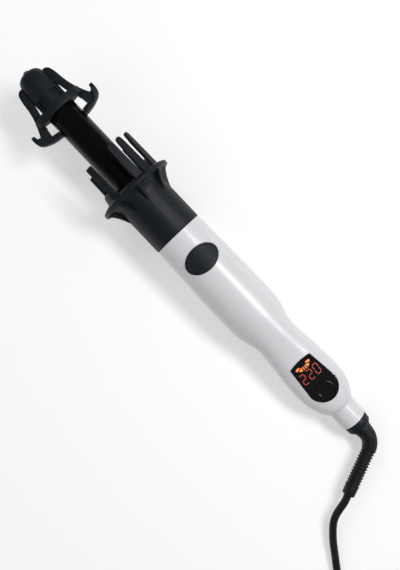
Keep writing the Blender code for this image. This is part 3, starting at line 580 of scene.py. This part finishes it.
def height_on(piece, x, y):
    """The height of a piece's upper surface over a place, in millimetres."""
    hit, place, _, _ = piece.ray_cast(Vector((x, y, 60)) * MM, Vector((0, 0, -1)))
    return place.z / MM if hit else 0.0


def lip(name, outline, surface, radius):
    """A thin raised edge that follows an outline on a surface."""
    points = [(x, y, height_on(surface, x, y) - LIP_SINK) for x, y in outline]
    edge = tube(name, points, [radius] * len(points), 3)
    edge.data.splines[0].use_cyclic_u = True
    edge.data.use_fill_caps = False
    pick(edge)
    bpy.ops.object.convert(target="MESH")
    return edge


def make_handle():
    """The two shells, open for the display and the rocker, with a raised edge round each opening."""
    front = handle_tube("front_skin", 0)
    rear = handle_tube("rear_skin", 0)
    trim(front, (0, 0, (SEAM_Z + SEAM_GAP / 2) * MM), (0, 0, 1), False)
    trim(rear, (0, 0, (SEAM_Z - SEAM_GAP / 2) * MM), (0, 0, -1), False)
    trim(rear, FLOOR_IN_TOOL, UP_IN_TOOL, True)
    whole_front = front.copy()
    whole_front.data = front.data.copy()
    bpy.context.collection.objects.link(whole_front)
    for skin in (front, rear):
        apply(skin, "SOLIDIFY", thickness=WALL * MM, offset=-1)
    cut(front, plate("window_room", window_outline(0), 8.5, 24))
    cut(front, plate("rocker_room", rocker_oval(0, 0), 12, 30))
    for x, y in SCREW_PLACES:
        bore = [(-40, 0), (-40, SCREW_HOLE_R), (SCREW_HOLE_END, SCREW_HOLE_R), (SCREW_HOLE_END, 0)]
        hole = lathe("screw_hole", bore, 32)
        turned_by(hole, -90, "Y")
        hole.location = Vector((x, y, 0)) * MM
        cut(rear, hole)
    window_lip = lip("window_lip", window_outline(-WINDOW_LIP_OUT), whole_front, WINDOW_LIP_R)
    rocker_lip = lip("rocker_lip", rocker_oval(-GAP, -GAP), whole_front, ROCKER_LIP_R)
    bpy.data.objects.remove(whole_front)
    for piece in (front, rear, window_lip, rocker_lip):
        shade(piece, 40)
    settle(front, "handle_body", looks["white_shell"], "white_shell", "front_shell")
    settle(rear, "handle_body", looks["white_shell"], "white_shell", "rear_shell")
    settle(window_lip, "handle_body", looks["white_shell"], "white_shell")
    settle(rocker_lip, "handle_body", looks["white_shell"], "white_shell")


# Display, button and rocker


DIGIT_X, DIGIT_PLACES = 52.25, (("2", 6.6), ("2", 0.2), ("0", -6.2))
SEGMENTS = {"0": "abcdef", "2": "abged"}
DIGIT_HALF_X, DIGIT_HALF_Y, DIGIT_SLANT = 4.0, 1.95, 0.09
STROKE, STROKE_GAP = 0.37, 0.3
# One half of the fan of level bars, as corners of (along, across)
LEVEL_BARS = [
    [(60.5, 0.45), (60.5, 1.1), (59.2, 1.25), (57.75, 1.6), (57.6, 0.6), (59.2, 0.5)],
    [(60.75, 1.85), (60.55, 2.5), (60.2, 3.3), (59.35, 5.2), (58.5, 4.0), (57.95, 2.5), (59.3, 2.15)],
    [(62.15, 3.35), (62.2, 4.8), (62.1, 6.2), (61.4, 6.95), (60.75, 6.7), (60.1, 6.0), (60.7, 4.4),
     (61.4, 3.1)],
]
LEVEL_Y = 0.19
MARK_LIFT, MARK_THICK = 0.19, 0.25
BORE_R = BUTTON_R + 0.2
ROCKER_GAP_X, ROCKER_GAP_Y, ROCKER_PROUD = 0.45, 0.65, 0.4
LINER_OUTER_GAP, LINER_INNER_GAP, LINER_SINK = 0.02, 0.22, 0.05


def add_patch(corners, surface):
    """A flat patch with these corners just over a surface, in the mesh that is being edited."""
    bpy.ops.mesh.primitive_circle_add(vertices=len(corners), radius=1, fill_type="NGON")
    mesh = bmesh.from_edit_mesh(bpy.context.object.data)
    added = sorted((vert for vert in mesh.verts if vert.select), key=lambda vert: vert.index)
    for vert, (x, y) in zip(added, corners):
        vert.co = Vector((x, y, height_on(surface, x, y) + MARK_LIFT)) * MM
    bmesh.update_edit_mesh(bpy.context.object.data)


def marks(name, patches, surface):
    """Patches on a surface as one thin piece."""
    bpy.ops.object.select_all(action="DESELECT")
    bpy.ops.mesh.primitive_plane_add(size=1)
    piece = bpy.context.object
    piece.name = name
    edit(piece)
    bpy.ops.mesh.delete(type="VERT")
    for corners in patches:
        add_patch(corners, surface)
    leave_edit()
    apply(piece, "SOLIDIFY", thickness=MARK_THICK * MM, offset=-1)
    tidy_mesh(piece)
    return piece


def digit_patches(digit, centre_y):
    """The lit strokes of a digit with its top to the head, as six-cornered patches."""
    rows = {"a": DIGIT_HALF_X, "g": 0.0, "d": -DIGIT_HALF_X}
    columns = {"f": (1, 1), "b": (1, -1), "e": (-1, 1), "c": (-1, -1)}
    out = []
    for letter in SEGMENTS[digit]:
        if letter in rows:
            x = rows[letter]
            end = DIGIT_HALF_Y - STROKE_GAP
            box = [(x, end), (x + STROKE, end - STROKE), (x + STROKE, STROKE - end), (x, -end),
                   (x - STROKE, STROKE - end), (x - STROKE, end - STROKE)]
        else:
            up, side = columns[letter]
            y = side * DIGIT_HALF_Y
            near, far = STROKE_GAP, DIGIT_HALF_X - STROKE_GAP
            box = [(near, y), (near + STROKE, y + STROKE), (far - STROKE, y + STROKE), (far, y),
                   (far - STROKE, y - STROKE), (near + STROKE, y - STROKE)]
            box = [(up * x, y) for x, y in box]
        out.append([(DIGIT_X + x, centre_y + y - DIGIT_SLANT * x) for x, y in box])
    return out


def make_display():
    """A dark lens with room for the button, and the lit digits and level bars on it."""
    lens = plate("window_glass", window_outline(GAP), 8.7, 20)
    cut(lens, handle_tube("lens_skin", 0, closed=True, stations=LENS_STATIONS), "INTERSECT")
    bore = lathe("button_bore", [(5, 0), (5, BORE_R), (20, BORE_R), (20, 0)], 72)
    turned_by(bore, -90, "Y")
    bore.location.x = BUTTON_X * MM
    cut(lens, bore)
    soften(lens, 0.55, 4, 50)
    shade(lens, 40)
    digits = []
    for digit, y in DIGIT_PLACES:
        digits += digit_patches(digit, y)
    lit_digits = marks("display_digits", digits, lens)
    bars = []
    for side in (1, -1):
        bars += [[(x, LEVEL_Y + side * y) for x, y in corners] for corners in LEVEL_BARS]
    level = marks("display_level", bars, lens)
    settle(lens, "handle_body", looks["lens"], "lens", "display_lens")
    settle(lit_digits, "handle_body", looks["lit_digits"], "lens")
    settle(level, "handle_body", looks["lit_level"], "lens")


def make_button():
    """A round button with a dished face in a thin rim."""
    dish = [(12.62, 0), (12.63, 1.5), (12.67, 3.0), (12.78, 4.4), (12.94, 5.4), (13.12, 6.1),
            (13.22, 6.5), (13.22, 6.8), (13.1, 7.1), (12.8, BUTTON_R)]
    skirt = [(10.8, BUTTON_R), (10.8, 8.4), (9.9, 8.4), (9.9, 7.0), (9.0, 7.0), (9.0, 0)]
    button = lathe("power_button_cap", dish + skirt, 96)
    turned_by(button, -90, "Y")
    button.location.x = BUTTON_X * MM
    pick(button)
    bpy.ops.object.transform_apply(location=True)
    shade(button, 50)
    settle(button, "button_body", looks["button_gloss"], "button_gloss", "power_button")


def rocker_oval(inset_x, inset_y):
    return ellipse((ROCKER_X, 0), ROCKER_HALF_X - inset_x, ROCKER_HALF_Y - inset_y)


def make_rocker():
    """An oval rocker that stands a little proud, and the thin liner round it."""
    rocker = plate("rocker_pad", rocker_oval(ROCKER_GAP_X, ROCKER_GAP_Y), 12.6, 30)
    cut(rocker, handle_tube("rocker_skin", -ROCKER_PROUD, closed=True), "INTERSECT")
    soften(rocker, 0.5, 3, 50)
    shade(rocker, 40)
    liner = plate("rocker_liner", rocker_oval(LINER_OUTER_GAP, LINER_OUTER_GAP), 14, 30)
    cut(liner, plate("liner_room", rocker_oval(LINER_INNER_GAP, LINER_INNER_GAP), 10, 34))
    cut(liner, handle_tube("liner_skin", LINER_SINK, closed=True), "INTERSECT")
    shade(liner, 40)
    settle(rocker, "rocker_body", looks["rocker_skin"], "rocker_skin", "direction_rocker")
    settle(liner, "handle_body", looks["black_plastic"], "black_plastic")


# Head


SLEEVE_R, SLEEVE_BORE, SHELL_END, FLANGE_BACK, FLANGE_R = 21.3, 18.9, 199.0, 245.3, 32.3
GUARD_FACE, FINGER_MIDDLE_R, FINGER_THICK = 251.4, 26.65, 2.5
GUSSETS, GUSSET_TURN, GUSSET_HALF = 8, 8, 1.2
COLLAR_START, COLLAR_SWEEP = 41, 271
# Angles round the axis from the front, with the fingers' far ends
ROUND_FINGERS, ROUND_FINGER_END = (-19, -37.5, -61.5), 282.9
SQUARE_FINGERS, SQUARE_FINGER_END = (34, 134, 155, 176, 197, 218, 245), 280.6


def upright(piece):
    """Turns a flat plate on edge, so that its y runs out from the axis at the front."""
    return turned_by(piece, 90, "X")


def make_sleeve():
    """A black sleeve that flares into a flange, with webs behind it and a flat where it rests."""
    profile = [
        (SHELL_END + GAP, 18.5), (SHELL_END + GAP, SLEEVE_R - 0.5), (SHELL_END + GAP + 0.5, SLEEVE_R),
        (236.0, SLEEVE_R), (238.5, 21.5), (240.8, 22.2), (242.6, 23.3), (244.2, 24.8),
        (FLANGE_BACK, 26.5), (FLANGE_BACK, FLANGE_R - 0.4), (FLANGE_BACK + 0.4, FLANGE_R),
        (247.8, FLANGE_R), (248.3, 32.0), (249.8, 28.7), (249.6, 28.35), (247.6, 28.0),
        (247.6, SLEEVE_BORE), (SHELL_END + 0.4, SLEEVE_BORE), (SHELL_END + 0.4, 18.5),
    ]
    sleeve = lathe("sleeve_skin", profile, 128)
    web_line = [(229.5, 20.2), (229.5, 21.1), (235.1, 23.4), (238.9, 25.4), (241.9, 27.4),
                (246.4, 31.2), (246.4, 20.2)]
    for i in range(GUSSETS):
        web = plate("gusset", web_line, -GUSSET_HALF, GUSSET_HALF)
        soften(web, 0.35, 2)
        upright(web)
        turned_by(web, GUSSET_TURN + i * 360 / GUSSETS)
        cut(sleeve, web, "UNION")
    trim(sleeve, FLOOR_IN_TOOL, UP_IN_TOOL, True)
    shade(sleeve, 32)
    settle(sleeve, "handle_body", looks["black_plastic"], "black_plastic", "barrel_sleeve")


def finger(round_end):
    """One flat finger of the guard with soft edges, standing at the front."""
    root = GUARD_FACE - 2.0
    if round_end:
        end, tip_r = ROUND_FINGER_END, 2.4
        tip = arc((end - tip_r, 0), tip_r, -90, 90, 9)
        half = [(root, 3.6), (end - 5.0, 2.8), (end - 3.4, 2.65)]
    else:
        end = SQUARE_FINGER_END
        tip = [(end, -2.5), (end, 2.5)]
        half = [(root, 3.25), (end - 0.8, 2.8)]
    outline = [(x, -y) for x, y in half] + tip + list(reversed(half))
    piece = plate("finger", outline, FINGER_MIDDLE_R - FINGER_THICK / 2,
                  FINGER_MIDDLE_R + FINGER_THICK / 2)
    soften(piece, 0.45, 3)
    return piece


def make_guard():
    """A ring on the flange with fingers along the barrel and a low collar part of the way round."""
    ring = [(242.0, 16.4), (242.0, 18.5), (247.9, 18.5), (247.9, 27.7), (249.7, 28.2), (250.0, 28.0),
            (251.1, 25.6), (GUARD_FACE, 24.6), (GUARD_FACE, 13.8), (GUARD_FACE - 0.5, 13.3), (249.0, 13.3),
            (249.0, 16.4)]
    guard = lathe("guard_ring", ring, 128)
    collar_line = [(250.2, 21.6), (250.2, 24.5), (256.6, 23.4), (257.8, 23.0), (258.6, 22.4),
                   (258.6, 21.9), (258.2, 21.6)]
    collar = drawn("guard_collar", [(x, 0, r) for x, r in collar_line])
    edit(collar)
    bpy.ops.mesh.edge_face_add()
    bpy.ops.mesh.spin(steps=90, angle=math.radians(COLLAR_SWEEP), center=(0, 0, 0), axis=(1, 0, 0))
    leave_edit()
    tidy_mesh(collar)
    turned_by(collar, -COLLAR_START)
    cut(guard, collar, "UNION")
    for angles, round_end in ((ROUND_FINGERS, True), (SQUARE_FINGERS, False)):
        for angle in angles:
            one = finger(round_end)
            turned_by(one, -angle)
            cut(guard, one, "UNION")
    shade(guard, 32)
    settle(guard, "handle_body", looks["black_plastic"], "black_plastic", "guard_crown")


def make_barrel():
    profile = [(203.0, 11.3), (203.0, 12.5), (335.4, 12.5), (335.8, 12.35), (336.0, 12.0),
               (336.0, 11.3)]
    barrel = lathe("barrel_tube", profile, 128)
    shade(barrel, 30)
    settle(barrel, "handle_body", looks["barrel_coat"], "barrel_coat", "barrel")


# Dial at the tip


BAND_START, BAND_END, BAND_HALF_Y, BAND_HALF_Z = 330.4, 337.0, 22.6, 14.3
BARREL_ROOM_R, BARREL_ROOM_END, ARCH_BASE = 12.8, 336.4, 5.0
HUB_START, HUB_END, HUB_R, HUB_ROOM_R, CAP_BORE_R = 336.6, 347.0, 5.8, 6.2, 3.4
RIM_HALF, ARM_HALF, WEB_HALF = 3.4, 3.2, 2.2
CAP_LINE = [(345.0, 12.2), (352.0, 12.2), (356.0, 12.05), (360.0, 11.7), (364.5, 11.1), (367.3, 10.2),
            (369.2, 8.5), (370.2, 6.6), (370.7, 5.2)]
FACET_TURNS, FACET_Z = (35, 145, 215, 325), 11.35
POCKET_START, POCKET_END, POCKET_HALF, POCKET_Z = 338.8, 347.0, 3.7, 10.15
# Outlines of one wing, as (along, across)
HOOK_BACK = [(315.9, 11.0), (316.3, 16.0), (317.2, 21.0), (318.8, 25.6), (320.4, 28.8), (323.0, 31.3),
             (326.5, 32.25), (330.9, 32.2)]
HOOK_NOTCH = [(331.2, 31.9), (331.25, 29.5), (330.9, 29.2), (329.4, 29.0), (328.0, 28.6),
              (327.1, 27.7), (326.9, 26.5)]
RIM_INSIDE = [(323.6, 26.6), (321.6, 24.6), (320.2, 20.6), (319.4, 16.0), (319.0, 11.0)]
ARM_OUTSIDE = [(327.2, 26.0), (329.8, 24.7), (334.6, 22.6), (340.1, 20.6), (347.5, 18.9), (354.0, 18.1),
               (358.6, 17.3), (361.6, 16.4), (363.5, 14.9), (364.4, 12.6), (364.4, 9.0)]
ARM_INSIDE = [(350.0, 11.0), (349.0, 12.4), (339.0, 14.6), (338.6, 11.0), (333.6, 11.0), (333.6, 17.4)]
WEB_OUTLINE = [(317.6, 11.5), (318.4, 18.0), (320.6, 25.6), (322.8, 27.6), (327.4, 26.2),
               (329.2, 24.2), (334.4, 21.4), (334.4, 11.5)]
WING_WINDOW = [(320.8, 12.0), (333.6, 12.0), (333.6, 17.4), (321.8, 19.0)]


def make_wing():
    """A hooked wing: its rim, an arm to the tip and a thin web between them."""
    rim = plate("dial_rim", rounded_line(HOOK_BACK, 4) + HOOK_NOTCH + rounded_line(RIM_INSIDE, 3),
                -RIM_HALF, RIM_HALF)
    arm = plate("dial_arm", rounded_line(ARM_OUTSIDE, 4) + ARM_INSIDE, -ARM_HALF, ARM_HALF)
    for piece in (rim, arm):
        soften(piece, 0.4, 2, 50)
    cut(rim, plate("dial_web", WEB_OUTLINE, -WEB_HALF, WEB_HALF), "UNION")
    cut(rim, arm, "UNION")
    return rim


def make_dial():
    """A band that arches over the barrel from one wing to the other, and a hub on its tip side."""
    dial = plate("dial_skin", ellipse((0, 0), BAND_HALF_Z, BAND_HALF_Y, 120), BAND_START, BAND_END)
    turned_by(dial, 90, "Y")
    soften(dial, 0.5, 3, 50)
    for turn in (0, 180):
        cut(dial, turned_by(make_wing(), turn), "UNION")
    for side in (1, -1):
        under_arch = [(x, side * y) for x, y in WING_WINDOW]
        cut(dial, plate("wing_window", under_arch, -20, ARCH_BASE))
    barrel_room = [(310.0, 0), (310.0, BARREL_ROOM_R), (BARREL_ROOM_END, BARREL_ROOM_R),
                   (BARREL_ROOM_END, 0)]
    cap_room = [(HUB_START + 0.3, 0), (HUB_START + 0.3, BARREL_ROOM_R), (338.0, BARREL_ROOM_R)]
    cap_room += [(x, r + GAP) for x, r in CAP_LINE] + [(372.0, 4.0), (372.0, 0)]
    for room in (barrel_room, cap_room):
        cut(dial, lathe("dial_room", room, 96))
    hub = [(HUB_START, 0), (HUB_START, HUB_R), (HUB_END, HUB_R), (HUB_END, 0)]
    cut(dial, lathe("dial_hub", hub, 48), "UNION")
    shade(dial, 35)
    settle(dial, "dial_body", looks["black_plastic"], "black_plastic", "curl_dial")


def oblong(start, end, half):
    return [(start, -half), (start, half), (end, half), (end, -half)]


def make_dial_cap():
    """A bullet with four flat facets, each with a pocket at its root, and the nub at its tip."""
    start, room_end = BAND_END + GAP, HUB_END + 0.4
    line = [(start, HUB_ROOM_R), (start, CAP_LINE[0][1])] + rounded_line(CAP_LINE, 3)
    line += [(370.9, CAP_BORE_R), (room_end, CAP_BORE_R), (room_end, HUB_ROOM_R)]
    cap = lathe("dial_bullet", line, 128)
    for turn in FACET_TURNS:
        cut(cap, turned_by(plate("facet", oblong(332, 372, 10), FACET_Z, 20), turn))
        pocket = plate("pocket", oblong(POCKET_START, POCKET_END, POCKET_HALF), POCKET_Z, 20)
        cut(cap, turned_by(pocket, turn))
    shade(cap, 18)
    settle(cap, "dial_body", looks["black_plastic"], "black_plastic", "dial_cap")
    nub = lathe("tip_nub", [(366.2, 0), (366.2, 3.0), (371.6, 3.0), (372.3, 2.7), (372.8, 2.0),
                            (373.0, 1.0), (373.05, 0)], 64)
    shade(nub, 40)
    settle(nub, "dial_body", looks["black_plastic"], "black_plastic", "tip_plug")


# Strain relief and plug


RELIEF_START, RELIEF_BEND, ELBOW_R, ELBOW_TURN = -9.0, -13.0, 13.6, math.radians(68)
ELBOW_ROOT_R, ELBOW_TAPER = 6.6, 1.1
RIBS, RIB_PITCH = 12, 2.5
# One rib: share of the pitch, radius
RIB_LINE = [(0.0, 4.75), (0.1, 4.6), (0.4, 4.6), (0.5, 4.75), (0.58, 5.2), (0.66, 5.45), (0.75, 5.5),
            (0.84, 5.45), (0.92, 5.2)]


def relief_line():
    """The strain relief's centreline and radii: a root, a bend, ribs and a plain end."""
    line = [((RELIEF_START, 0), 7.1), ((RELIEF_START - 0.2, 0), 7.25), ((-11.0, 0), 6.9),
            ((RELIEF_BEND, 0), ELBOW_ROOT_R)]
    steps = 20
    for i in range(1, steps + 1):
        turn = ELBOW_TURN * i / steps
        place = (RELIEF_BEND - ELBOW_R * math.sin(turn), ELBOW_R * (1 - math.cos(turn)))
        line.append((place, ELBOW_ROOT_R - ELBOW_TAPER * i / steps))
    corner = line[-1][0]
    runs = [((i + share) * RIB_PITCH, radius) for i in range(RIBS) for share, radius in RIB_LINE]
    end = RIBS * RIB_PITCH
    runs += [(end + 0.1, 4.75), (end + 0.35, 5.1), (end + 0.8, 5.2), (end + 7.3, 5.0),
             (end + 7.8, 4.8), (end + 8.0, 4.4)]
    for run, radius in runs[1:]:
        line.append(((corner[0] - math.cos(ELBOW_TURN) * run, corner[1] + math.sin(ELBOW_TURN) * run),
                     radius))
    return line


def softened_copy(node, name, width, angle=38):
    """A copy of a CAD node, merged, with its edges rounded."""
    piece = bpy.data.objects.new(name, frame["nodes"][node].data.copy())
    bpy.context.collection.objects.link(piece)
    edit(piece)
    bpy.ops.mesh.customdata_custom_splitnormals_clear()
    bpy.ops.mesh.remove_doubles(threshold=0.000002)
    bpy.ops.mesh.dissolve_limited(angle_limit=math.radians(1))
    leave_edit()
    soften(piece, width, 2, angle)
    shade(piece, angle)
    return piece


def make_relief():
    """The strain relief with its collar, and the plug. Returns the pieces that are on the cord."""
    line = relief_line()
    relief = tube("bend_relief", [(x, y, 0) for (x, y), _ in line], [radius for _, radius in line], 10)
    pick(relief)
    bpy.ops.object.convert(target="MESH")
    tidy_mesh(relief)
    shade(relief, 50)
    settle(relief, "cord_body", looks["cord_skin"], "cord_skin", "strain_relief")
    collar = softened_copy("swivel_collar", "collar_skin", 0.3)
    dress(collar, "cord_body", looks["black_plastic"], "black_plastic", "swivel_collar")
    plug = softened_copy("plug_body", "plug_skin", 0.6, 25)
    dress(plug, "cord_body", looks["cord_skin"], "cord_skin", "plug_body")
    return relief, plug


# Build


look_down_on_the_curler()
for lamp in LAMPS:
    softbox(*lamp)
light_all_round()
lay_floor(floor_white())

looks = {
    "white_shell": pearl_white(),
    "black_plastic": moulded("black_plastic", (0.0030, 0.0052, 0.0080), 0.54),
    "rocker_skin": moulded("slate_rubber", (0.0060, 0.0095, 0.0120), 0.60),
    "button_gloss": polished("button_black", (0.003, 0.003, 0.0035)),
    "lens": polished("smoked_lens", (0.003, 0.003, 0.0035), 0.05),
    "lit_digits": lit("display_red", (0.36, 0.055, 0.034), 0.85),
    "lit_level": lit("display_orange", (0.92, 0.25, 0.06), 1.0),
    "barrel_coat": barrel_coat(),
    "steel": metal("steel", (0.60, 0.61, 0.63), 0.30),
    "heater_aluminium": metal("heater_aluminium", (0.75, 0.76, 0.78), 0.35),
    "brass": metal("brass", (0.76, 0.60, 0.32), 0.28),
    "board": moulded("circuit_board", (0.03, 0.22, 0.10), 0.45),
    "grey_plastic": moulded("grey_plastic", (0.35, 0.35, 0.36), 0.5),
    "heat_plastic": moulded("heat_plastic", (0.72, 0.68, 0.58), 0.6),
    "heating_ceramic": moulded("heating_ceramic", (0.80, 0.76, 0.66), 0.6),
    "lead_skin": moulded("silicone_lead", (0.75, 0.72, 0.66), 0.5),
    "cord_skin": moulded("cord_rubber", (0.0050, 0.0055, 0.0068), 0.50),
}
for part in frame["record"]["subparts"]:
    node = frame["nodes"][part["node"]]
    node.data.materials.clear()
    node.data.materials.append(looks[part["material_slot"]])

make_cord(looks["cord_skin"], make_relief())
make_handle()
make_display()
make_button()
make_rocker()
make_sleeve()
make_guard()
make_barrel()
make_dial()
make_dial_cap()

bpy.context.view_layer.update()
